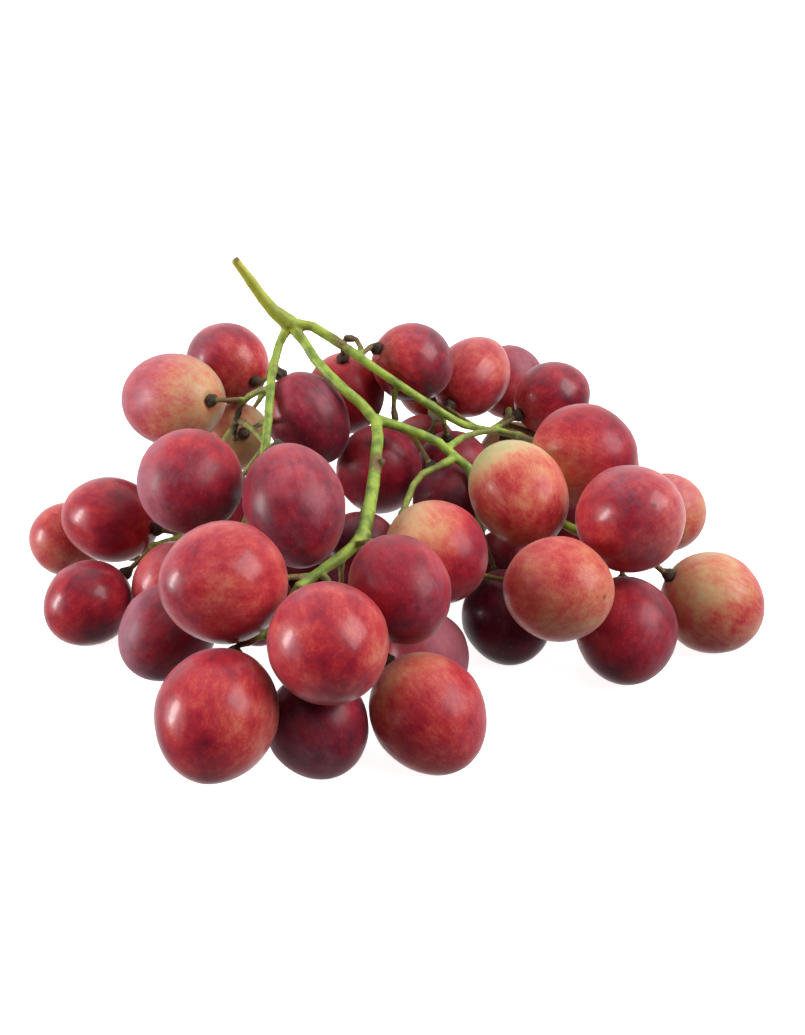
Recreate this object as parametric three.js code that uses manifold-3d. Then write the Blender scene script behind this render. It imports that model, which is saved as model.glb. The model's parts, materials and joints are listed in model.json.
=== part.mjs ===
// A bunch of large red table grapes, cut from the vine and lying on its side on a flat surface.
// Millimetres, +Z up, the surface at z = 0, +X to the right and +Y away from the viewer.
// The origin is the middle of the bunch's box, on the surface that the bunch lies on.
//
// The bunch is one branched woody stem and the grapes that hang on it. The stem is one body: the cut
// peduncle, its limbs and twigs, a pedicel for every grape with the warty cap at its end, and the bare
// stubs where grapes were lost. Every grape is a body of its own, held at its cap.

import * as THREE from 'three';
import { mergeVertices } from 'three/addons/utils/BufferGeometryUtils.js';
import Module from 'manifold-3d';

const wasm = await Module();
wasm.setup();

// Driving dimensions, mm.
const GAP = 0.3; // air left between two pieces that touch
const SAG = 1.6; // a grape hanging less than this above the surface sinks onto it
const FLAT_DEPTH = 0.8; // how far a grape that bears on the surface is pressed flat
const DIMPLE_RADIUS = 2.6; // the hollow round a grape's stem end
const DIMPLE_DEPTH = 0.7;
const TAPER = 0.07; // how much slimmer a grape is towards its far end
const PEDICEL_RADIUS = 0.62;
const PEDICEL_ROOT_RADIUS = 0.8;
const CAP_RADIUS = 1.9; // the flared cap that holds the grape
const CAP_HEIGHT = 1.5;
const JUNCTION_RADIUS = 2.3; // the knob where the limbs part from the peduncle
const ROOT_FLARE = 1.25; // how much thicker a limb is where it leaves its parent
const THICK_RADIUS = 1.2; // a limb at least this thick is made with more sides
const TWIG_SIDES = 8;
const PEDICEL_SIDES = 6;
const GRAPE_SIDES = 10;
const GRAPE_ROWS = 8;
const LIMB_RING = 6; // length of limb between two of its rings
const PEDICEL_BENDS = 7; // points on a pedicel's line from its root to its neck
const KNOB = 1.4; // a twig's end knob, as a share of the twig's tip radius

// The stem's limbs: the middle line of each, from its root to its tip, and the radius at both ends.
const LIMBS = {
  peduncle: { radii: [1.9, 1.05], line: [[-29, 51, 60], [-34, 51, 64.6], [-38, 51, 71], [-42, 51, 77]] },
  left: {
    radii: [1.1, 1.05],
    line: [
      [-29, 51, 60], [-31.7, 48.5, 55.3], [-32.8, 44.5, 52], [-33.2, 36, 48.2], [-33.4, 28, 42.2],
      [-34.5, 22, 35.5], [-36, 17, 29], [-39, 10, 22],
    ],
  },
  leftBack: {
    radii: [0.8, 0.75],
    line: [[-33.2, 36.5, 48.4], [-37.3, 39.5, 46], [-40.4, 42, 42.8], [-42, 42.5, 40.7], [-43, 40, 36.8]],
  },
  leftFar: { radii: [1, 0.85], line: [[-32.8, 44.5, 52], [-35.5, 57, 43], [-37, 72, 32], [-41, 80, 27]] },
  leftMiddle: { radii: [1, 0.9], line: [[-35.5, 20.5, 31], [-34, 19, 36], [-33, 17, 40], [-31, 14, 43]] },
  leftLow: { radii: [1.1, 0.9], line: [[-39, 10, 22], [-50, 11, 21], [-61, 10, 18]] },
  leftFront: { radii: [1.1, 0.9], line: [[-39, 10, 22], [-41, -3, 24], [-40, -15, 24]] },
  main: {
    radii: [1.2, 1.6],
    line: [
      [-29, 51, 60], [-25.6, 49, 56.4], [-22.1, 45, 52.3], [-15.4, 38.2, 47.9], [-7, 34, 41],
      [-6.5, 20, 37.2], [-7.2, 8, 34.4], [-9, -7, 31],
    ],
  },
  mainTip: { radii: [1.4, 1], line: [[-9, -7, 31], [-13, -15, 31], [-18, -22, 31], [-22, -28, 31]] },
  frontDrop: { radii: [1, 0.8], line: [[-22, -28, 31], [-26, -31, 26], [-30, -36, 24]] },
  right: {
    radii: [1.2, 1],
    line: [
      [-7, 34, 41], [1.6, 33, 38.5], [9.3, 32, 35.3], [17, 26.5, 30.5], [30, 21, 24], [38, 16, 22],
      [48, 7, 21], [58, -3, 22],
    ],
  },
  rightTwig: {
    radii: [0.85, 0.75],
    line: [[11.3, 31, 34.3], [15.5, 35, 35.5], [19.2, 38, 35.2], [25, 41, 34.5], [30, 39, 34]],
  },
  rightDrop: { radii: [0.9, 0.8], line: [[13.3, 29, 32.6], [9.4, 26, 32], [4, 20, 32], [0, 5, 30]] },
  rightLow: { radii: [1.1, 0.9], line: [[17, 26.5, 30.5], [19, 16, 24], [18, 2, 20], [18, -8, 21]] },
  back: {
    radii: [1.3, 0.85],
    line: [
      [-29, 51, 60], [-23.5, 51, 59.3], [-17, 49, 56], [-6.5, 45, 49.7], [7.4, 42, 41], [15.5, 43, 35.3],
      [24, 50, 30],
    ],
  },
  backTwig: { radii: [1, 0.8], line: [[7.4, 42, 41], [11, 50, 34], [9, 60, 29], [8, 67, 27]] },
  backDrop: { radii: [0.95, 0.8], line: [[24, 50, 30], [29, 62, 28], [30, 69, 27]] },
};

// The bare stubs where a grape was lost, each a line that curls off its limb.
const STUBS = [
  [[-10.6, 46.6, 52.5], [-10.9, 48.5, 55.2], [-12.5, 50, 56.5], [-15, 50.5, 56]],
  [[-1.4, 43.8, 45.4], [-2.3, 43.5, 41.5], [-2.1, 42.5, 38.5], [-1.6, 41.5, 37]],
  [[-33.9, 25, 39], [-36.7, 30, 39.2], [-39.7, 35.5, 38.8], [-42, 39, 38]],
  [[-43, 40, 36.8], [-43.4, 38.5, 35], [-43, 37, 33.4]],
  [[-6.6, 18, 36.7], [-5.2, 17, 37.6], [-4.6, 16.6, 37.8]],
  [[48, 7, 21], [51, 8, 24], [53, 7, 25]],
];

// The grapes: middle, width across, length from stem end to far end, the limb that it hangs on, how far
// along that limb its pedicel leaves it, its skin and, where its pedicel arches, how far to the side of
// the pedicel's root its stem end points.
const GRAPES = [
  [[-49, 72, 40], 22.2, 24.4, 'left', 0.26, 'red', [14, 0, -16]],
  [[-61, 51, 38.5], 24.6, 31.6, 'leftBack', 0.6, 'pale', [0, -8, 3.5]],
  [[-50, 7, 37.5], 24.6, 26, 'leftBack', 1, 'wine'],
  [[-73, 18, 21], 21, 25, 'leftLow', 0.6, 'red'],
  [[-88, 29, 10], 19, 20, 'leftLow', 0.9, 'red'],
  [[-74.6, -2, 11], 20.2, 21.4, 'leftLow', 1, 'red'],
  [[-55, 2, 14], 20.6, 21.6, 'leftFront', 0.02, 'red'],
  [[-36.6, -37, 38], 25.2, 26.8, 'mainTip', 0.78, 'red'],
  [[-53, -20.5, 14], 21, 23, 'leftFront', 0.75, 'wine'],
  [[-34.4, -56.5, 20], 24.4, 27, 'frontDrop', 1, 'red', [0, 0, 7]],
  [[-15.6, -50.5, 29.8], 24, 25.4, 'mainTip', 1, 'red'],
  [[-17.4, -49, 10], 21.2, 22.2, 'frontDrop', 0.9, 'wine'],
  [[4.3, -45, 13.5], 23.6, 26.6, 'mainTip', 0.7, 'coral'],
  [[-0.4, -32, 32], 21.2, 24.8, 'mainTip', 0.15, 'wine', [0, 0, 8]],
  [[10.4, -11, 26], 23, 25, 'rightDrop', 1, 'coral'],
  [[-24.4, -6, 38.6], 22.8, 29.6, 'leftMiddle', 1, 'wine', [0, 0, 10]],
  [[-25.1, 39.6, 39.8], 20.8, 25.2, 'left', 0.2, 'wine'],
  [[-15, 61, 36], 21, 23, 'back', 0.23, 'wine', [0, 8, 0]],
  [[-6.4, 42, 22.4], 22.6, 26.4, 'main', 0.48, 'wine'],
  [[3.4, 58, 45.6], 21, 22, 'back', 0.31, 'red', [-6, 4, 5]],
  [[18.8, 70, 37.2], 20.4, 27, 'back', 0.9, 'red', [-14, 0, -2]],
  [[31, 87, 28], 21, 22, 'backDrop', 1, 'wine', [0, 0, -10]],
  [[41, 61, 34.6], 19.6, 21.4, 'backDrop', 0.1, 'red'],
  [[45, 24, 36], 25, 27, 'rightTwig', 1, 'coral'],
  [[27.4, 6, 35], 22.4, 28.2, 'right', 0.36, 'pale', [0, 0, 13]],
  [[51.4, -8, 36], 24.2, 26.6, 'right', 0.8, 'red'],
  [[71.4, 41.5, 12], 21, 22, 'right', 0.86, 'coral'],
  [[73.7, -5, 12], 24, 25, 'right', 1, 'pale'],
  [[34, -24, 27.8], 22.8, 24.8, 'rightLow', 1, 'coral'],
  [[51.4, -15.6, 13], 23.2, 25.6, 'right', 0.9, 'wine'],
  [[23.4, -9, 12], 21.2, 22.8, 'rightLow', 0.45, 'wine'],
  [[5, -24, 10], 20, 21, 'mainTip', 0.1, 'wine'],
  [[-22, 14, 11], 20, 22, 'left', 0.97, 'wine'],
  [[-10, 1, 22], 20, 21, 'main', 0.66, 'wine'],
  [[6, 72, 13], 20, 21, 'backTwig', 0.7, 'wine'],
  [[14, 53, 17], 20, 21, 'backTwig', 0.3, 'wine'],
  [[13, 29, 19], 20, 22, 'right', 0.12, 'wine'],
  [[-47, 67, 20], 19, 21, 'left', 0.5, 'pale'],
  [[32, 64, 14], 21, 22, 'backDrop', 0.3, 'wine'],
  [[26, 14, 10], 19, 20, 'right', 0.5, 'wine'],
  [[45, 29, 10], 20, 21, 'right', 0.6, 'wine'],
  [[2, 14, 10], 19, 20, 'rightLow', 0.4, 'wine'],
  [[-14, -14, 11], 19, 20, 'mainTip', 0.4, 'wine'],
  [[-50, 46, 10], 20, 21, 'left', 0.62, 'wine'],
  [[-26, 42, 11], 20, 21, 'left', 0.75, 'wine'],
  [[8, 88, 26], 19, 20, 'backTwig', 1, 'red'],
  [[54, 48, 21], 19, 20, 'rightTwig', 0.7, 'wine'],
  [[-52, 92, 33], 19, 21, 'leftFar', 1, 'red'],
  [[-52, 87, 10], 19, 20, 'leftFar', 0.95, 'wine'],
  [[-20, 84, 24], 19, 20, 'leftFar', 0.9, 'wine'],
  [[53, 70, 18], 19, 20, 'backDrop', 0.4, 'red'],
  [[-35, -2, 10], 18, 19, 'left', 0.98, 'wine'],
];

// Colour of each skin and of the stem, for a plain standard material.
const COLOURS = { red: 0x9c2238, wine: 0x64182b, coral: 0xb4493f, pale: 0xc0705a, stem: 0x9dae3c };

const vec = (point) => new THREE.Vector3(...point);
const limbCurves = {};
for (const [name, limb] of Object.entries(LIMBS)) {
  limbCurves[name] = new THREE.CatmullRomCurve3(limb.line.map(vec), false, 'centripetal');
}

// The grapes as ellipsoids, each with its long axis turned towards the spot that its pedicel grows from,
// or to the side of it.
const grapes = GRAPES.map(([middle, across, along, limb, spot, skin, aside = [0, 0, 0]]) => {
  const at = vec(middle);
  const root = limbCurves[limb].getPointAt(spot);
  const axis = root.clone().sub(at).add(vec(aside)).normalize();
  return { at, root, axis, across: across / 2, along: along / 2, skin };
});

// Distance from a grape's middle to the plane that just touches it, square to a direction.
function reach(grape, direction) {
  const lengthwise = direction.dot(grape.axis) ** 2;
  return Math.sqrt(grape.along ** 2 * lengthwise + grape.across ** 2 * (1 - lengthwise));
}

// Limb points with their radius, close enough together to stand for the whole limb.
const limbPoints = [];
for (const [name, limb] of Object.entries(LIMBS)) {
  const curve = limbCurves[name];
  const steps = Math.ceil(curve.getLength() / 2);
  for (let i = 0; i <= steps; i += 1) {
    const radius = THREE.MathUtils.lerp(limb.radii[0], limb.radii[1], i / steps);
    limbPoints.push({ at: curve.getPointAt(i / steps), radius });
  }
}

// Settle the grapes: apart from each other, clear of the limbs and on the surface.
const down = new THREE.Vector3(0, 0, -1);
function settle(rounds) {
  const between = new THREE.Vector3();
  for (let round = 0; round < rounds; round += 1) {
    grapes.forEach((one, i) => {
      for (const other of grapes.slice(i + 1)) {
        between.subVectors(other.at, one.at);
        const apart = between.length();
        between.normalize();
        const lack = reach(one, between) + reach(other, between) + GAP - apart;
        if (lack > 0) {
          one.at.addScaledVector(between, -lack / 2);
          other.at.addScaledVector(between, lack / 2);
        }
      }
      for (const point of limbPoints) {
        between.subVectors(point.at, one.at);
        const apart = between.length();
        between.normalize();
        const lack = reach(one, between) + point.radius + 2 * GAP - apart;
        if (lack > 0) {
          one.at.addScaledVector(between, -lack);
        }
      }
      if (one.at.z - reach(one, down) < SAG) {
        one.at.z = reach(one, down) - FLAT_DEPTH;
      }
    });
  }
}
settle(400);

// A closed geometry as a solid that can be joined and cut.
function solid(geometry) {
  const bare = geometry.clone();
  bare.deleteAttribute('normal');
  bare.deleteAttribute('uv');
  const merged = mergeVertices(bare, 1e-5);
  return new wasm.Manifold(new wasm.Mesh({
    numProp: 3,
    vertProperties: new Float32Array(merged.attributes.position.array),
    triVerts: new Uint32Array(merged.index.array),
  }));
}

function geometryOf(body) {
  const mesh = body.getMesh();
  const geometry = new THREE.BufferGeometry();
  geometry.setAttribute('position', new THREE.BufferAttribute(mesh.vertProperties, 3));
  geometry.setIndex(new THREE.BufferAttribute(mesh.triVerts, 1));
  geometry.computeVertexNormals();
  return geometry;
}

// A closed round rod along a curve. Each ring is a share of the way along and a radius. The rings' corners
// line up along the rod, because each takes over the side direction of the one before it.
function rod(curve, rings, sides) {
  const steps = rings.length - 1;
  const geometry = new THREE.CylinderGeometry(1, 1, 1, sides, steps);
  const start = curve.getTangentAt(0);
  const level = new THREE.Vector3(1, 0, 0);
  const side = (Math.abs(start.z) < Math.SQRT1_2 ? down : level).clone().cross(start).normalize();
  const frames = rings.map(([share]) => {
    const tangent = curve.getTangentAt(share);
    side.addScaledVector(tangent, -side.dot(tangent)).normalize();
    const normal = side.clone();
    return { middle: curve.getPointAt(share), normal, binormal: tangent.cross(normal) };
  });
  const corners = geometry.attributes.position;
  for (let i = 0; i < corners.count; i += 1) {
    const row = Math.round((corners.getY(i) + 0.5) * steps);
    const frame = frames[row];
    const radius = rings[row][1];
    const point = frame.middle.clone();
    point.addScaledVector(frame.normal, corners.getZ(i) * radius);
    point.addScaledVector(frame.binormal, corners.getX(i) * radius);
    corners.setXYZ(i, point.x, point.y, point.z);
  }
  return geometry;
}

// A pedicel's line from its root to its cap, bent clear of every grape.
function pedicelLine(grape) {
  const seat = grape.at.clone().addScaledVector(grape.axis, grape.along - DIMPLE_DEPTH + GAP);
  const neck = seat.clone().addScaledVector(grape.axis, CAP_HEIGHT + 1);
  const points = [];
  for (let i = 0; i < PEDICEL_BENDS; i += 1) {
    points.push(grape.root.clone().lerp(neck, i / (PEDICEL_BENDS - 1)));
  }
  const smoothingRounds = 50;
  const clearingRounds = 10;
  const clearance = PEDICEL_RADIUS + 2.5 * GAP;
  const away = new THREE.Vector3();
  for (let round = 0; round < smoothingRounds + clearingRounds; round += 1) {
    for (let i = 1; i < PEDICEL_BENDS - 1; i += 1) {
      if (round < smoothingRounds) {
        const middle = points[i - 1].clone().lerp(points[i + 1], 0.5);
        points[i].lerp(middle, 0.4);
      }
      for (const other of grapes) {
        away.subVectors(points[i], other.at);
        const apart = away.length();
        away.normalize();
        const lack = reach(other, away) + clearance - apart;
        if (lack > 0) {
          points[i].addScaledVector(away, lack);
        }
      }
    }
  }
  return new THREE.CatmullRomCurve3([...points, seat], false, 'centripetal');
}

// A pedicel, thickest at its root, and the flared cap at its end.
function pedicel(grape) {
  const curve = pedicelLine(grape);
  const length = curve.getLength();
  const capShare = CAP_HEIGHT / length;
  const steps = Math.max(2, Math.ceil((length - 3 * CAP_HEIGHT) / LIMB_RING));
  const rings = [];
  for (let i = 0; i <= steps; i += 1) {
    const share = i / steps;
    const radius = THREE.MathUtils.lerp(PEDICEL_ROOT_RADIUS, PEDICEL_RADIUS, Math.min(1, 2 * share));
    rings.push([share * (1 - 2 * capShare), radius]);
  }
  rings.push([1 - capShare * 0.7, CAP_RADIUS]);
  rings.push([1, CAP_RADIUS * 0.75]);
  return rod(curve, rings, PEDICEL_SIDES);
}

function limb(name) {
  const curve = limbCurves[name];
  const [rootRadius, tipRadius] = LIMBS[name].radii;
  const steps = Math.ceil(curve.getLength() / LIMB_RING);
  const rings = [[0, rootRadius * ROOT_FLARE]];
  for (let i = 1; i <= steps; i += 1) {
    rings.push([i / steps, THREE.MathUtils.lerp(rootRadius, tipRadius, i / steps)]);
  }
  return rod(curve, rings, rootRadius < THICK_RADIUS ? PEDICEL_SIDES : TWIG_SIDES);
}

// The knob where limbs part, or where the last pedicels part at the end of a twig.
function knob(point, radius) {
  return new THREE.IcosahedronGeometry(radius, 0).translate(point.x, point.y, point.z);
}

// A bare stub, swollen where its grape broke off.
function stub(line) {
  const curve = new THREE.CatmullRomCurve3(line.map(vec), false, 'centripetal');
  const rings = [[0, 0.9], [0.3, 0.7], [0.6, 0.65], [0.85, 1], [1, 0.8]];
  return rod(curve, rings, PEDICEL_SIDES);
}

function stem() {
  const pieces = [knob(vec(LIMBS.peduncle.line[0]), JUNCTION_RADIUS)];
  for (const [name, { radii, line }] of Object.entries(LIMBS)) {
    pieces.push(limb(name));
    if (name !== 'peduncle') {
      pieces.push(knob(vec(line.at(-1)), radii[1] * KNOB));
    }
  }
  pieces.push(...STUBS.map(stub), ...grapes.map(pedicel));
  return geometryOf(wasm.Manifold.union(pieces.map(solid)));
}

// A grape: a fat egg with a hollow at its stem end, and a flat spot where it bears on the surface. One of
// its lengthwise rows of corners runs along its underside.
function grapeGeometry(grape) {
  const outline = [];
  for (let i = 0; i <= GRAPE_ROWS; i += 1) {
    const turn = -Math.PI / 2 + (i / GRAPE_ROWS) * Math.PI;
    const width = Math.cos(turn) * (1 + TAPER * Math.min(0, Math.sin(turn)));
    outline.push(new THREE.Vector2(Math.max(0, width * grape.across), Math.sin(turn) * grape.along));
  }
  outline[0].x = 0;
  const rimHeight = grape.along * Math.sqrt(1 - (DIMPLE_RADIUS / grape.across) ** 2);
  const rim = new THREE.Vector2(DIMPLE_RADIUS, rimHeight);
  outline.splice(GRAPE_ROWS, 1, rim, new THREE.Vector2(0, grape.along - DIMPLE_DEPTH));
  const geometry = new THREE.LatheGeometry(outline, GRAPE_SIDES);
  const underside = down.clone();
  underside.addScaledVector(grape.axis, -underside.dot(grape.axis)).normalize();
  const across = grape.axis.clone().cross(underside);
  geometry.applyMatrix4(new THREE.Matrix4().makeBasis(across, grape.axis, underside).setPosition(grape.at));
  geometry.computeBoundingBox();
  if (geometry.boundingBox.min.z >= 0) {
    return geometry;
  }
  const side = 4 * grape.along;
  const ground = new THREE.BoxGeometry(side, side, side).translate(grape.at.x, grape.at.y, -side / 2);
  return geometryOf(solid(geometry).subtract(solid(ground)));
}

function mesh(name, geometry, colour, roughness) {
  const material = new THREE.MeshStandardMaterial({ color: colour, roughness, metalness: 0 });
  const made = new THREE.Mesh(geometry, material);
  made.name = name;
  return made;
}

const bunch = new THREE.Group();
bunch.add(mesh('stem', stem(), COLOURS.stem, 0.6));
grapes.forEach((grape, i) => {
  const name = `grape_${String(i + 1).padStart(2, '0')}`;
  bunch.add(mesh(name, grapeGeometry(grape), COLOURS[grape.skin], 0.3));
});
const box = new THREE.Box3().setFromObject(bunch);
const middle = box.getCenter(new THREE.Vector3());
bunch.position.set(-middle.x, -middle.y, -box.min.z);

export default bunch;
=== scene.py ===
import json
import math

import bpy
import numpy as np
from mathutils import Matrix, Vector, noise
from mathutils.bvhtree import BVHTree
from mathutils.kdtree import KDTree


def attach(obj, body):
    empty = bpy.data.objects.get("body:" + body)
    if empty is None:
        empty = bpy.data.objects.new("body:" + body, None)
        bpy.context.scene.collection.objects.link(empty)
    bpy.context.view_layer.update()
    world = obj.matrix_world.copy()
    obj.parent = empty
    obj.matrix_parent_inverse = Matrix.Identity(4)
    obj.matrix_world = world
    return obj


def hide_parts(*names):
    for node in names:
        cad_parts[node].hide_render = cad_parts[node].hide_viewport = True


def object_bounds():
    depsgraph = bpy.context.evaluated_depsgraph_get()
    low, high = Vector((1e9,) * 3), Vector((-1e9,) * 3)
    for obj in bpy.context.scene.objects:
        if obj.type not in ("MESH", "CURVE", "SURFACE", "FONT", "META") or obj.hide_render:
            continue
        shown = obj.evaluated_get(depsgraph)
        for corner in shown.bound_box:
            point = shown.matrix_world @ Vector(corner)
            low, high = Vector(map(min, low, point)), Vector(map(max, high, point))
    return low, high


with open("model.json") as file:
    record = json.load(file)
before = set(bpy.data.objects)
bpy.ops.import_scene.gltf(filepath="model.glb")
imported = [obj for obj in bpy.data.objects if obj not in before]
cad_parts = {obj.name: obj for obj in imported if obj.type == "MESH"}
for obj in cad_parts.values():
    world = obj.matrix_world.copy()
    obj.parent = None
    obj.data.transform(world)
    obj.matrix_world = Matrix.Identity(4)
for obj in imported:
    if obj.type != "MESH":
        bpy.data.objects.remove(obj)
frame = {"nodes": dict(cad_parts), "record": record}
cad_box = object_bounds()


# The camera stands in front of the bunch and a little above it, and looks down on it from close by. Its
# place and its lens are fitted to the photograph.
LOOK_AT = Vector((0.0060, -0.0159, 0.0320))
LOOK_DOWN = math.radians(30)
CAMERA_DISTANCE = 0.290
FOCAL_LENGTH = 43.4

camera_data = bpy.data.cameras.new("photo_camera")
camera_data.sensor_width = 36
camera_data.lens = FOCAL_LENGTH
camera_data.clip_start = 0.01
camera = bpy.data.objects.new("photo_camera", camera_data)
look = Vector((0, math.cos(LOOK_DOWN), -math.sin(LOOK_DOWN)))
camera.location = LOOK_AT - look * CAMERA_DISTANCE
camera.rotation_euler = look.to_track_quat("-Z", "Y").to_euler()
bpy.context.scene.collection.objects.link(camera)
bpy.context.scene.camera = camera


# The skins. A ripening grape goes from yellow-green over cream, coral and red to wine and plum, in soft
# clouds and lengthwise streaks, so one ramp serves every grape, and each grape is at its own stage of it.
# Over the skin lies a thin lilac wax, the bloom, rubbed off in places; its lilac is also a painted sheen
# where the light falls.
RIPENING = (
    (0.00, (0.40, 0.38, 0.14)),
    (0.14, (0.60, 0.43, 0.21)),
    (0.30, (0.62, 0.25, 0.13)),
    (0.44, (0.58, 0.115, 0.080)),
    (0.58, (0.48, 0.026, 0.036)),
    (0.72, (0.31, 0.010, 0.026)),
    (0.86, (0.14, 0.009, 0.024)),
    (1.00, (0.052, 0.007, 0.017)),
)
# Lilac of the real bloom, which also serves as a painted sheen on the lit side of the grapes.
BLOOM_AND_SHEEN_COLOUR = (0.52, 0.25, 0.32)
SCAR_COLOUR = (0.10, 0.035, 0.015)
DOT_COLOUR = (0.78, 0.45, 0.30)
DOT_SHARE = 0.14
GRAININESS = 0.22
MOST_WAX_AND_SHEEN = 0.6


def link_up(tree, target, value):
    """Puts a socket or a plain value on an input."""
    if isinstance(value, bpy.types.NodeSocket):
        tree.links.new(value, target)
    elif target.type == "RGBA" and len(value) == 3:
        target.default_value = (*value, 1)
    else:
        target.default_value = value


def new_node(tree, kind, settings=None, **inputs):
    """A node with its settings made and its inputs, by name or position, filled."""
    node = tree.nodes.new(kind)
    for name, value in (settings or {}).items():
        setattr(node, name, value)
    for name, value in inputs.items():
        name = int(name[1:]) if name[0] == "_" else name.replace("_", " ")
        link_up(tree, node.inputs[name], value)
    return node


def sum_of(tree, *terms):
    """The sum of (socket or number, factor) terms."""
    total = None
    for value, factor in terms:
        if total is None:
            node = new_node(tree, "ShaderNodeMath", {"operation": "MULTIPLY"}, _0=value, _1=factor)
        else:
            settings = {"operation": "MULTIPLY_ADD"}
            node = new_node(tree, "ShaderNodeMath", settings, _0=value, _1=factor, _2=total)
        total = node.outputs[0]
    return total


def mixed(tree, share, first, second):
    """Colour between first and second."""
    node = new_node(tree, "ShaderNodeMix", {"data_type": "RGBA"})
    link_up(tree, node.inputs[0], share)
    link_up(tree, node.inputs[6], first)
    link_up(tree, node.inputs[7], second)
    return node.outputs[2]


def stepped(tree, value, low, high, top=1.0):
    """Smooth step of value from low to high, reaching top."""
    node = new_node(tree, "ShaderNodeMapRange", {"interpolation_type": "SMOOTHSTEP"})
    link_up(tree, node.inputs["Value"], value)
    node.inputs["From Min"].default_value = low
    node.inputs["From Max"].default_value = high
    node.inputs["To Max"].default_value = top
    return node.outputs[0]


def blank_material(name):
    """A material with only its shader and output, and its tree."""
    material = bpy.data.materials.new(name)
    material.use_nodes = True
    tree = material.node_tree
    tree.nodes.clear()
    shader = tree.nodes.new("ShaderNodeBsdfPrincipled")
    output = tree.nodes.new("ShaderNodeOutputMaterial")
    tree.links.new(shader.outputs[0], output.inputs[0])
    return material, tree, shader


def grape_skin(name, cloudiness, streakiness, roughness, lustre):
    """Skin of a grape. Lengths in the textures are in centimetres, along the grape's own axes."""
    material, tree, shader = blank_material(name)
    place = new_node(tree, "ShaderNodeAttribute", {"attribute_name": "own_place"}).outputs["Vector"]
    seed = new_node(tree, "ShaderNodeAttribute", {"attribute_name": "seed"}).outputs["Fac"]
    ripe = new_node(tree, "ShaderNodeAttribute", {"attribute_name": "ripe"}).outputs["Fac"]
    bloom_and_sheen = new_node(tree, "ShaderNodeAttribute", {"attribute_name": "bloom_and_sheen"}).outputs["Fac"]
    scar = new_node(tree, "ShaderNodeAttribute", {"attribute_name": "scar"}).outputs["Fac"]
    in_cm = new_node(tree, "ShaderNodeMapping", _0=place, Scale=(100, 100, 100)).outputs[0]
    lengthwise = new_node(tree, "ShaderNodeMapping", _0=place, Scale=(100, 100, 24)).outputs[0]

    def clouds(scale, detail, roughness=0.5, along=in_cm):
        node = new_node(tree, "ShaderNodeTexNoise", {"noise_dimensions": "4D"}, Vector=along, W=seed)
        node.inputs["Scale"].default_value = scale
        node.inputs["Detail"].default_value = detail
        node.inputs["Roughness"].default_value = roughness
        return node.outputs[0]

    broad = clouds(1.1, 2)
    blotches = clouds(2.6, 4, 0.6)
    streaks = clouds(9, 4, 0.6, along=lengthwise)
    grain = clouds(26, 2)
    stage = sum_of(
        tree,
        (ripe, 1),
        (broad, cloudiness),
        (blotches, cloudiness),
        (streaks, streakiness),
        (grain, GRAININESS),
        (1.0, -0.5 * (2 * cloudiness + streakiness + GRAININESS)),
    )
    ramp = tree.nodes.new("ShaderNodeValToRGB")
    tree.links.new(stage, ramp.inputs[0])
    stops = ramp.color_ramp.elements
    stops[0].position, stops[0].color = RIPENING[0][0], (*RIPENING[0][1], 1)
    stops[1].position, stops[1].color = RIPENING[-1][0], (*RIPENING[-1][1], 1)
    for position, colour in RIPENING[1:-1]:
        stops.new(position).color = (*colour, 1)
    ramp.color_ramp.interpolation = "B_SPLINE"

    lenticels = new_node(tree, "ShaderNodeTexVoronoi", _0=in_cm, Scale=9.0).outputs["Distance"]
    dots = stepped(tree, lenticels, 0.16, 0.07, DOT_SHARE)
    skin = mixed(tree, dots, ramp.outputs[0], DOT_COLOUR)

    wax_patches = clouds(1.7, 5, 0.62)
    wax_rubbed = clouds(7, 3, 0.6, along=lengthwise)
    # Wax in real random patches and rubbed streaks, plus each grape's own wax field, which is partly a
    # painted sheen on its lit side.
    wax_and_sheen = sum_of(tree, (wax_patches, 1.1), (wax_rubbed, 0.5), (bloom_and_sheen, 1.0), (1.0, -0.8))
    wax_and_sheen_share = stepped(tree, wax_and_sheen, 0.0, 1.2, MOST_WAX_AND_SHEEN)
    waxed_and_sheened = mixed(tree, wax_and_sheen_share, skin, BLOOM_AND_SHEEN_COLOUR)
    scarred = mixed(tree, scar, waxed_and_sheened, SCAR_COLOUR)
    link_up(tree, shader.inputs["Base Color"], scarred)

    sheen_of_wax = sum_of(tree, (wax_and_sheen_share, 0.45), (blotches, 0.08), (1.0, roughness))
    link_up(tree, shader.inputs["Roughness"], sheen_of_wax)
    pores = sum_of(tree, (grain, 0.6), (streaks, 0.4))
    bump = new_node(tree, "ShaderNodeBump", Strength=0.12, Distance=0.0002, Height=pores)
    link_up(tree, shader.inputs["Normal"], bump.outputs[0])
    shader.inputs["Subsurface Weight"].default_value = 0.22
    shader.inputs["Subsurface Radius"].default_value = (1.0, 0.22, 0.16)
    shader.inputs["Subsurface Scale"].default_value = 0.003
    shader.inputs["Specular IOR Level"].default_value = 0.24
    shader.inputs["Sheen Weight"].default_value = 0.20
    shader.inputs["Sheen Roughness"].default_value = 0.4
    shader.inputs["Sheen Tint"].default_value = (1.0, 0.74, 0.82, 1)
    shader.inputs["Coat Weight"].default_value = lustre
    shader.inputs["Coat Roughness"].default_value = 0.14
    return material


skins = {
    "skin_red": grape_skin("skin_red", 0.50, 0.34, 0.28, 0.18),
    "skin_wine": grape_skin("skin_wine", 0.38, 0.24, 0.34, 0.03),
    "skin_coral": grape_skin("skin_coral", 0.44, 0.32, 0.32, 0.06),
    "skin_pale": grape_skin("skin_pale", 0.52, 0.42, 0.32, 0.06),
}


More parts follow.
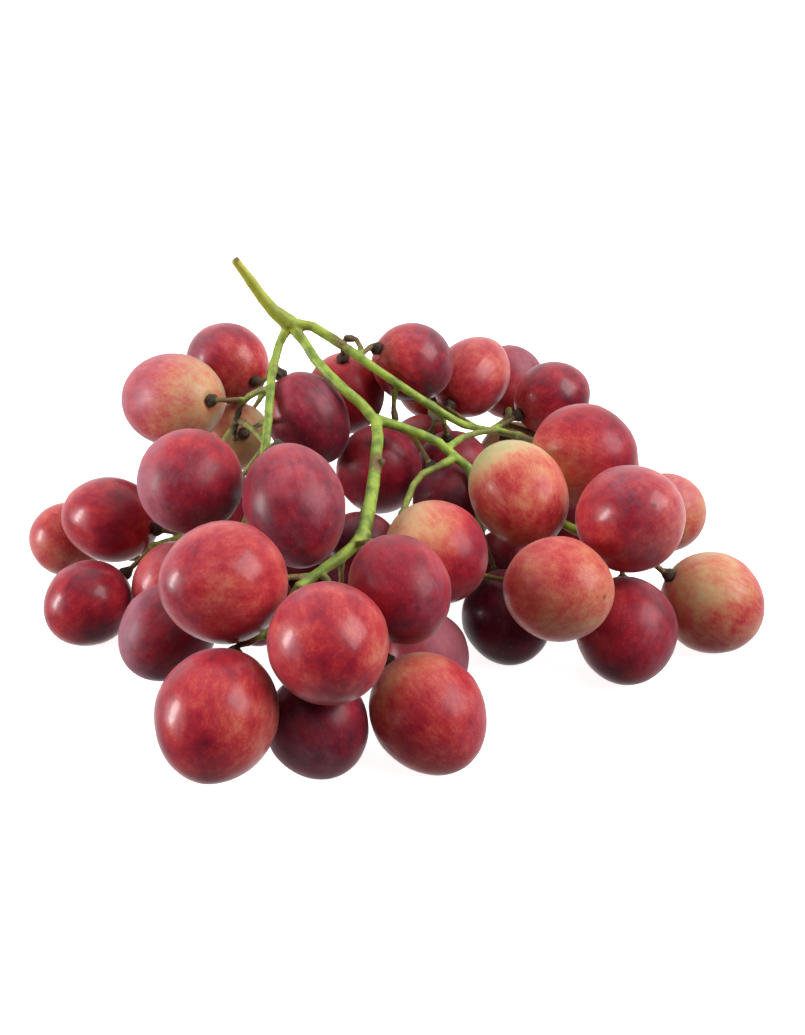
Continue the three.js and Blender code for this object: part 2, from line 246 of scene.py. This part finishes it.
# The grapes. Each is a full ovoid berry held at its stem end, where the skin dips into a small hollow, with
# a brown dot at its far end where the flower's style fell off. They press each other a little flat where
# they touch, and the lowest are pressed flat on the surface. Each is shaped round its own CAD solid.
DIMPLE_DEPTH = 0.0007
DIMPLE_RADIUS = 0.0030
TAPER = 0.07
SWELL = 0.00012
LUMP_SIZE = 0.009
LUMP_HEIGHT = 0.00016
SCAR_RADIUS = 0.00055
GRAPE_RINGS = 46
GRAPE_SEGMENTS = 60
POLE_CROWDING = 0.6
CONTACT_GAP = 0.00001
# These three spread the wax and the paleness over one side of each grape, where they are partly painted
# sheen and painted light.
LEAST_WAX_AND_SHEEN = 0.15
UNRIPE_AND_LIT_START = -0.1
LIT_SIDE_WAX_START = -0.2
SCAR_STRENGTH = 0.85

STEM_END = "stem end"
LEFT, RIGHT, UP, FRONT, BACK = (-1, 0, 0), (1, 0, 0), (0, 0, 1), (0, -1, 0), (0, 1, 0)
UP_LEFT, UP_RIGHT = (-0.7, -0.2, 0.7), (0.7, -0.2, 0.7)
LOW_LEFT, LOW_RIGHT = (-0.7, -0.5, -0.4), (0.7, -0.5, -0.4)

# Stage of ripeness from 0 to 1, how much less ripe it gets and towards which side, and how much wax it
# has and on which side. Towards a side of the room the paler skin is partly painted light where the lamps
# fall, and the wax partly a painted sheen; towards the stem end the paleness is the grape's own. In the
# order of the grapes' numbers.
GRAPE_LOOKS = (
    (0.75, 0.22, STEM_END, 0.30, UP_LEFT),
    (0.64, 0.42, (0.9, -0.45, 0.15), 0.60, UP_LEFT),
    (0.79, 0.08, UP, 0.75, LEFT),
    (0.68, 0.02, LEFT, 0.04, UP_LEFT),
    (0.53, 0.04, LOW_LEFT, 0.35, LEFT),
    (0.76, 0.08, LOW_LEFT, 0.04, LEFT),
    (0.68, 0.14, UP, 0.35, UP),
    (0.67, 0.10, UP_RIGHT, 0.35, LEFT),
    (0.84, 0.05, UP, 0.75, LEFT),
    (0.68, 0.22, RIGHT, 0.15, RIGHT),
    (0.67, 0.10, RIGHT, 0.25, LEFT),
    (0.83, 0.04, UP, 0.60, LOW_LEFT),
    (0.60, 0.22, STEM_END, 0.35, RIGHT),
    (0.75, 0.05, LEFT, 0.35, RIGHT),
    (0.68, 0.44, UP_LEFT, 0.15, RIGHT),
    (0.84, 0.10, UP, 0.35, UP_RIGHT),
    (0.86, 0.08, UP, 0.30, UP),
    (0.78, 0.16, UP, 0.20, UP_LEFT),
    (0.80, 0.08, LEFT, 0.15, UP_LEFT),
    (0.84, 0.30, STEM_END, 0.25, UP_RIGHT),
    (0.58, 0.08, RIGHT, 0.35, RIGHT),
    (0.76, 0.12, STEM_END, 0.50, UP_RIGHT),
    (0.76, 0.16, STEM_END, 0.12, UP),
    (0.69, 0.34, LOW_LEFT, 0.12, UP_RIGHT),
    (0.45, 0.50, STEM_END, 0.10, RIGHT),
    (0.66, 0.20, RIGHT, 0.35, UP_RIGHT),
    (0.44, 0.10, RIGHT, 0.55, UP),
    (0.45, 0.16, UP_LEFT, 0.10, RIGHT),
    (0.45, 0.08, LOW_RIGHT, 0.04, UP),
    (0.80, 0.10, UP_LEFT, 0.35, RIGHT),
    (0.96, 0.04, UP, 0.10, UP),
    (0.68, 0.08, RIGHT, 0.85, UP_RIGHT),
    (0.92, 0.06, UP, 0.15, UP),
    (0.92, 0.10, STEM_END, 0.12, UP),
    (0.72, 0.12, UP, 0.30, UP_LEFT),
    (0.78, 0.12, RIGHT, 0.30, UP_RIGHT),
    (0.90, 0.08, UP, 0.12, UP),
    (0.22, 0.10, LOW_RIGHT, 0.10, LEFT),
    (0.40, 0.24, STEM_END, 0.15, UP_LEFT),
    (0.86, 0.16, STEM_END, 0.10, UP),
    (0.88, 0.10, STEM_END, 0.10, UP),
    (0.84, 0.16, STEM_END, 0.15, UP),
    (0.82, 0.16, STEM_END, 0.15, UP),
    (0.84, 0.12, STEM_END, 0.20, UP),
    (0.86, 0.12, STEM_END, 0.15, UP),
    (0.70, 0.20, STEM_END, 0.30, BACK),
    (0.82, 0.16, STEM_END, 0.25, BACK),
    (0.64, 0.24, STEM_END, 0.30, BACK),
    (0.80, 0.16, STEM_END, 0.20, LEFT),
    (0.76, 0.16, STEM_END, 0.35, BACK),
    (0.68, 0.22, STEM_END, 0.25, BACK),
    (0.82, 0.12, STEM_END, 0.20, FRONT),
)


def measure_grape(node):
    """Middle, axis towards the stem end, half width and half length of a grape, from its CAD solid.
    The hollow's deepest corner is the one where the most triangles meet inside the smallest ring."""
    mesh = frame["nodes"][node].data
    corners = np.array([v.co for v in mesh.vertices])
    places, index = np.unique(np.round(corners, 6), axis=0, return_inverse=True)
    index = index.ravel()
    triangles = np.array([index[list(p.vertices)] for p in mesh.polygons])
    meeting = np.bincount(triangles.ravel())
    rings = []
    for corner in np.flatnonzero((meeting >= 9) & (places[:, 2] > 1e-4)):
        around = np.unique(triangles[(triangles == corner).any(1)])
        ring = places[around[around != corner]]
        width = np.linalg.norm(ring - ring.mean(0), axis=1).mean()
        rings.append((width, corner, ring))
    _, corner, ring = min(rings, key=lambda found: found[0])
    axis = np.linalg.svd(ring - ring.mean(0))[2][2]
    axis *= np.sign(axis @ (ring.mean(0) - places.mean(0)))
    heights = (places - places[corner]) @ axis
    widths = np.linalg.norm(places - places[corner] - heights[:, None] * axis, axis=1)
    widest = heights[widths > widths.max() - 1e-5].mean()
    middle = places[corner] + widest * axis
    return Vector(middle), Vector(axis), widths.max(), DIMPLE_DEPTH - widest


def reach(grape, direction):
    """How far a grape goes from its middle towards a direction."""
    middle, axis, half_width, half_length = grape
    lengthwise = direction.dot(axis) ** 2
    return math.sqrt(half_length**2 * lengthwise + half_width**2 * (1 - lengthwise)) + SWELL


def side_share(points, direction, start):
    """From 0 to 1 over the side of the grape that faces a direction, beginning at a cosine of start."""
    facing = points @ np.array(direction) / np.linalg.norm(points, axis=1) / np.linalg.norm(direction)
    share = np.clip((facing - start) / (1 - start), 0, 1)
    return share * share * (3 - 2 * share)


def make_grape(number, grapes):
    """A berry in place of a CAD grape: an ovoid, made lumpy, pressed flat by its neighbours and the surface,
    and kept within the CAD model's box."""
    node = f"grape_{number:02d}"
    middle, axis, half_width, half_length = grapes[node]
    turn = axis.to_track_quat("Z", "Y")
    place = Matrix.LocRotScale(middle, turn, None)
    points = [(0, 0, half_length + SWELL - DIMPLE_DEPTH)]
    faces = []
    for ring in range(1, GRAPE_RINGS):
        share = ring / GRAPE_RINGS
        polar = math.pi * (share - POLE_CROWDING * math.sin(2 * math.pi * share) / (2 * math.pi))
        slim = 1 - TAPER * max(0, -math.cos(polar))
        radius = (half_width + SWELL) * math.sin(polar) * slim
        height = (half_length + SWELL) * math.cos(polar)
        if polar < math.pi / 2 and radius < DIMPLE_RADIUS:
            height -= DIMPLE_DEPTH * (1 - (radius / DIMPLE_RADIUS) ** 2) ** 2
        for i in range(GRAPE_SEGMENTS):
            angle = 2 * math.pi * i / GRAPE_SEGMENTS
            points.append((radius * math.cos(angle), radius * math.sin(angle), height))
    points.append((0, 0, -half_length - SWELL))
    last = len(points) - 1
    for i in range(GRAPE_SEGMENTS):
        after = (i + 1) % GRAPE_SEGMENTS
        faces.append((0, 1 + i, 1 + after))
        for ring in range(GRAPE_RINGS - 2):
            row = 1 + ring * GRAPE_SEGMENTS
            below = row + GRAPE_SEGMENTS
            faces.append((row + i, below + i, below + after, row + after))
        faces.append((last, last - GRAPE_SEGMENTS + after, last - GRAPE_SEGMENTS + i))

    shift = Vector((number * 3.1, number * 1.7, 0))
    lumpy = []
    for point in map(Vector, points):
        lump = noise.noise(point / LUMP_SIZE + shift) + 0.35 * noise.noise(point / LUMP_SIZE * 3 + shift)
        lumpy.append(place @ (point * (1 + lump * LUMP_HEIGHT / half_width)))
    world = np.array(lumpy)
    centre = np.array(middle)
    for other_node, other in grapes.items():
        apart = other[0] - middle
        if other_node == node or apart.length > 2.5 * half_length + other[3]:
            continue
        direction = apart.normalized()
        near = reach(grapes[node], direction)
        limit = (near + apart.length - reach(other, -direction)) / 2 - CONTACT_GAP
        normal = np.array(direction)
        past = np.clip((world - centre) @ normal - limit, 0, None)
        world -= past[:, None] * normal
    world[:, 2] = np.maximum(world[:, 2], 0)
    outward = world - centre
    above = np.maximum(outward.max(0) / (np.array(cad_box[1]) - centre), 1)
    below = np.maximum(outward.min(0) / (np.array(cad_box[0]) - centre), 1)
    outward /= np.where(outward > 0, above, below)
    world = centre + outward

    mesh = bpy.data.meshes.new(node + "_berry")
    mesh.from_pydata(world.tolist(), [], faces)
    mesh.shade_smooth()

    ripe, fade, unripe_and_lit_side, wax_and_sheen, wax_and_lit_side = GRAPE_LOOKS[number - 1]
    # Paler towards the stem end is the grape's own colour; paler towards a side of the room is partly less
    # ripe skin and partly painted light where the lamps fall.
    unripe_and_lit_direction = axis if unripe_and_lit_side == STEM_END else unripe_and_lit_side
    # The wax is thickest towards one side: partly real bloom, partly a painted sheen on the side where the
    # light falls.
    wax_and_sheen_share = LEAST_WAX_AND_SHEEN + (1 - LEAST_WAX_AND_SHEEN) * side_share(outward, wax_and_lit_side, LIT_SIDE_WAX_START)
    far_point = np.array(middle - axis * (half_length + SWELL))
    from_far = np.linalg.norm(world - far_point, axis=1)
    fields = {
        "seed": np.full(len(world), number * 7.3),
        "ripe": ripe - fade * side_share(outward, unripe_and_lit_direction, UNRIPE_AND_LIT_START),
        "bloom_and_sheen": wax_and_sheen * wax_and_sheen_share,
        "scar": np.clip(1.3 - from_far / SCAR_RADIUS, 0, 1) * SCAR_STRENGTH,
    }
    for name, values in fields.items():
        attribute = mesh.attributes.new(name, "FLOAT", "POINT")
        attribute.data.foreach_set("value", values.astype(np.float32))
    own_place = mesh.attributes.new("own_place", "FLOAT_VECTOR", "POINT")
    own_place.data.foreach_set("vector", np.array(points, dtype=np.float32).ravel())

    berry = bpy.data.objects.new(node + "_berry", mesh)
    bpy.context.scene.collection.objects.link(berry)
    slot = slot_of[node]
    mesh.materials.append(skins[slot])
    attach(berry, "root")
    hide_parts(node)


slot_of = {part["node"]: part["material_slot"] for part in frame["record"]["subparts"]}
grape_nodes = sorted(node for node in frame["nodes"] if node.startswith("grape_"))
grapes = {node: measure_grape(node) for node in grape_nodes}
for number in range(1, len(grape_nodes) + 1):
    make_grape(number, grapes)


# The stem: the cut peduncle, limbs, twigs, pedicels, caps and bare stubs, grown as one piece of soft green
# wood. It follows its CAD solid, rounded off, and is warty at the caps that hold the grapes. It goes from
# yellow at the cut over green on the limbs to brown on the pedicels, the caps, the stubs and the cut face.
# Near the grapes it is browner, partly with age and partly as painted shade among the grapes.
STEM_GRAIN = 0.00035
SMOOTHING = 30
STEM_SWELL = 0.0001
CAP_WARTS = 0.00022
WART_SIZE = 0.0009
RIPPLE_HEIGHT = 0.00012
RIPPLE_SIZE = 0.0035
CAP_REACH = 0.0024
# How far from a grape the stem browns, partly with age and partly as painted shade.
BROWN_AND_SHADED_NEAR_CAP = 0.009
CUT_LENGTH = 0.0016
YELLOW_LENGTH = 0.024
TWIG_THICKNESS = 0.0018
THICKNESS_STEP = 0.0006
STUB_REACH = 0.0045
WARTY_STUB = 0.3
STUB_TIPS_MM = (
    (-9, 34.7, 56),
    (4.4, 25.7, 37),
    (-36, 23, 38),
    (-37, 21, 33.4),
    (1.4, 0.8, 37.8),
    (59, -9, 25),
)

PEDUNCLE_YELLOW = (0.50, 0.48, 0.05)
FRESH_GREEN = (0.33, 0.46, 0.05)
DEEP_GREEN = (0.14, 0.21, 0.025)
TWIG_BROWN = (0.17, 0.11, 0.035)
CAP_BROWN = (0.045, 0.026, 0.012)


def stem_wood():
    """Green wood, patchy, that browns with age and, near the grapes, with painted shade."""
    material, tree, shader = blank_material("stem_wood")
    place = tree.nodes.new("ShaderNodeTexCoord").outputs["Object"]
    age = new_node(tree, "ShaderNodeAttribute", {"attribute_name": "age"}).outputs["Fac"]
    yellow = new_node(tree, "ShaderNodeAttribute", {"attribute_name": "yellow"}).outputs["Fac"]
    in_cm = new_node(tree, "ShaderNodeMapping", _0=place, Scale=(100, 100, 100)).outputs[0]
    patches = new_node(tree, "ShaderNodeTexNoise", Vector=in_cm, Scale=3.0, Detail=4.0).outputs[0]
    flecks = new_node(tree, "ShaderNodeTexNoise", Vector=in_cm, Scale=16.0, Detail=3.0).outputs[0]
    rough = new_node(tree, "ShaderNodeTexNoise", Vector=in_cm, Scale=40.0, Detail=3.0).outputs[0]
    limb = mixed(tree, stepped(tree, patches, 0.35, 0.68), FRESH_GREEN, DEEP_GREEN)
    green = mixed(tree, yellow, limb, PEDUNCLE_YELLOW)
    # Brown where old, and brown as painted shade near the grapes.
    worn_and_shaded = sum_of(tree, (age, 1), (flecks, 0.55), (rough, 0.2), (1.0, -0.375))
    twig = mixed(tree, stepped(tree, worn_and_shaded, 0.12, 0.55), green, TWIG_BROWN)
    wood = mixed(tree, stepped(tree, worn_and_shaded, 0.55, 0.95), twig, CAP_BROWN)
    link_up(tree, shader.inputs["Base Color"], wood)
    roughness = sum_of(tree, (age, 0.3), (flecks, 0.2), (1.0, 0.36))
    link_up(tree, shader.inputs["Roughness"], roughness)
    height = sum_of(tree, (flecks, 1), (rough, 0.5))
    bump = new_node(tree, "ShaderNodeBump", Strength=0.35, Distance=0.0003, Height=height)
    link_up(tree, shader.inputs["Normal"], bump.outputs[0])
    shader.inputs["Subsurface Weight"].default_value = 0.12
    shader.inputs["Subsurface Radius"].default_value = (0.6, 1.0, 0.25)
    shader.inputs["Subsurface Scale"].default_value = 0.0012
    return material


def remeshed(source, name, size):
    """A copy of a CAD solid as an even mesh."""
    made = bpy.data.objects.new(name, source.data.copy())
    bpy.context.scene.collection.objects.link(made)
    modifier = made.modifiers.new("even", "REMESH")
    modifier.mode = "VOXEL"
    modifier.voxel_size = size
    graph = bpy.context.evaluated_depsgraph_get()
    mesh = bpy.data.meshes.new_from_object(made.evaluated_get(graph))
    made.modifiers.clear()
    made.data = mesh
    mesh.name = name
    return made


def smoothed(points, edges, rounds):
    """Points evened out along the mesh's edges, with as much swelling as shrinking."""
    count = np.bincount(edges.ravel(), minlength=len(points))[:, None]
    for step in range(2 * rounds):
        total = np.empty_like(points)
        for axis in range(3):
            ends = np.bincount(edges[:, 0], points[edges[:, 1], axis], len(points))
            starts = np.bincount(edges[:, 1], points[edges[:, 0], axis], len(points))
            total[:, axis] = ends + starts
        points = points + (0.5 if step % 2 == 0 else -0.52) * (total / count - points)
    return points


def make_stem():
    """The finer stem, with its age and its painted shade near the grapes, which brown it, and its yellow,
    which is strongest at the cut.
    """
    stem = remeshed(frame["nodes"]["stem"], "stem_branches", STEM_GRAIN)
    mesh = stem.data
    points = np.array([v.co for v in mesh.vertices])
    edges = np.array([e.vertices for e in mesh.edges])
    points = smoothed(points, edges, SMOOTHING)
    mesh.vertices.foreach_set("co", points.ravel())
    mesh.update()
    normals = np.array([v.normal for v in mesh.vertices])

    seats = KDTree(len(grapes))
    for i, (middle, axis, half_width, half_length) in enumerate(grapes.values()):
        seats.insert(middle + axis * half_length, i)
    seats.balance()
    from_seat = np.array([seats.find(point)[2] for point in points])
    tips = [Vector(tip) / 1000 for tip in STUB_TIPS_MM]
    from_stub = np.array([min((Vector(point) - tip).length for tip in tips) for point in points])
    from_cut = points[:, 2].max() - points[:, 2]
    tree = BVHTree.FromPolygons(points.tolist(), [p.vertices for p in mesh.polygons])
    thick = np.full(len(points), 0.001)
    for i, (point, normal) in enumerate(zip(points, normals)):
        hit = tree.ray_cast(Vector(point - normal * 1e-4), Vector(-normal), 0.008)
        if hit[0] is not None:
            thick[i] = hit[3]
    thin = np.clip((TWIG_THICKNESS - thick) / THICKNESS_STEP, 0, 1)

    cap = np.clip(1 - from_seat / CAP_REACH, 0, 1)
    # Browner near the grapes: partly older pedicels, partly painted shade among the grapes.
    near_cap_browning_and_shade = np.clip(1 - from_seat / BROWN_AND_SHADED_NEAR_CAP, 0, 1)
    stub = np.clip(1 - from_stub / STUB_REACH, 0, 1)
    cut = np.clip(1 - from_cut / CUT_LENGTH, 0, 1)
    age = 0.04 + 0.34 * thin + 0.45 * near_cap_browning_and_shade + 0.6 * (cap > 0) + 0.7 * np.sqrt(stub) + 0.5 * cut
    warts = np.array([noise.noise(Vector(point) / WART_SIZE) for point in points])
    ripples = np.array([noise.noise(Vector(point) / RIPPLE_SIZE) for point in points])
    warty = 0.25 + 0.75 * np.maximum(cap > 0, stub > WARTY_STUB)
    lift = CAP_WARTS * warts * warty + RIPPLE_HEIGHT * ripples
    points = points + normals * (STEM_SWELL + lift[:, None])
    mesh.vertices.foreach_set("co", points.ravel())
    for name, values in (("age", age), ("yellow", 1 - from_cut / YELLOW_LENGTH)):
        attribute = mesh.attributes.new(name, "FLOAT", "POINT")
        attribute.data.foreach_set("value", np.clip(values, 0, 1).astype(np.float32))
    mesh.shade_smooth()
    mesh.materials.clear()
    mesh.materials.append(stem_wood())
    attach(stem, "root")
    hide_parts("stem")


make_stem()


# The floor is a wide matt white sheet that isn't part of the bunch. It glows a little, so that it shows
# white with hardly a shadow, and it throws no light on the grapes.
floor_mesh = bpy.data.meshes.new("floor")
half_floor = 3.0
floor_corners = [(-half_floor, -half_floor, 0), (half_floor, -half_floor, 0)]
floor_corners += [(half_floor, half_floor, 0), (-half_floor, half_floor, 0)]
floor_mesh.from_pydata(floor_corners, [], [(0, 1, 2, 3)])
floor = bpy.data.objects.new("floor", floor_mesh)
bpy.context.scene.collection.objects.link(floor)
floor_material, floor_tree, floor_shader = blank_material("floor_white")
floor_shader.inputs["Base Color"].default_value = (0.9, 0.9, 0.9, 1)
floor_shader.inputs["Roughness"].default_value = 0.9
floor_shader.inputs["Emission Color"].default_value = (1, 1, 1, 1)
floor_shader.inputs["Emission Strength"].default_value = 0.9
floor_mesh.materials.append(floor_material)
floor.visible_diffuse = False
floor.visible_glossy = False


# The light: a tall soft box low at the left with a wide one behind it, a large one high at the right, a
# broad one overhead, and white light from behind, from overhead and from below.
def soft_box(name, location, aim, width, height, power):
    data = bpy.data.lights.new(name, "AREA")
    data.shape = "RECTANGLE"
    data.size = width
    data.size_y = height
    data.energy = power
    light = bpy.data.objects.new(name, data)
    light.location = location
    light.rotation_euler = (Vector(aim) - Vector(location)).to_track_quat("-Z", "Y").to_euler()
    bpy.context.scene.collection.objects.link(light)


soft_box("left_box", (-0.82, -0.14, 0.20), (0, 0, 0.03), 0.16, 0.36, 5.0)
soft_box("left_fill", (-1.30, -0.30, 0.26), (0, 0, 0.03), 1.20, 0.80, 5.5)
soft_box("right_box", (1.00, -0.25, 0.90), (0, 0, 0.03), 1.00, 0.90, 19.0)
soft_box("top_box", (0.10, 0.20, 1.70), (0, 0, 0.02), 2.40, 2.00, 9.0)

world = bpy.data.worlds.new("white_room")
world.use_nodes = True
sky = world.node_tree
direction = sky.nodes.new("ShaderNodeTexCoord").outputs["Generated"]
split = new_node(sky, "ShaderNodeSeparateXYZ", _0=direction)
depth, height = split.outputs["Y"], split.outputs["Z"]
overhead = stepped(sky, height, 0.2, 1.0, 0.30)
behind = stepped(sky, depth, -0.1, 0.9, 1.00)
underneath = stepped(sky, height, 0.0, -0.8, 0.35)
sky.nodes["Background"].inputs[0].default_value = (1, 1, 1, 1)
brightness = sum_of(sky, (overhead, 1), (behind, 1), (underneath, 1), (1.0, 0.03))
link_up(sky, sky.nodes["Background"].inputs[1], brightness)
bpy.context.scene.world = world
bpy.context.scene.view_settings.view_transform = "Standard"
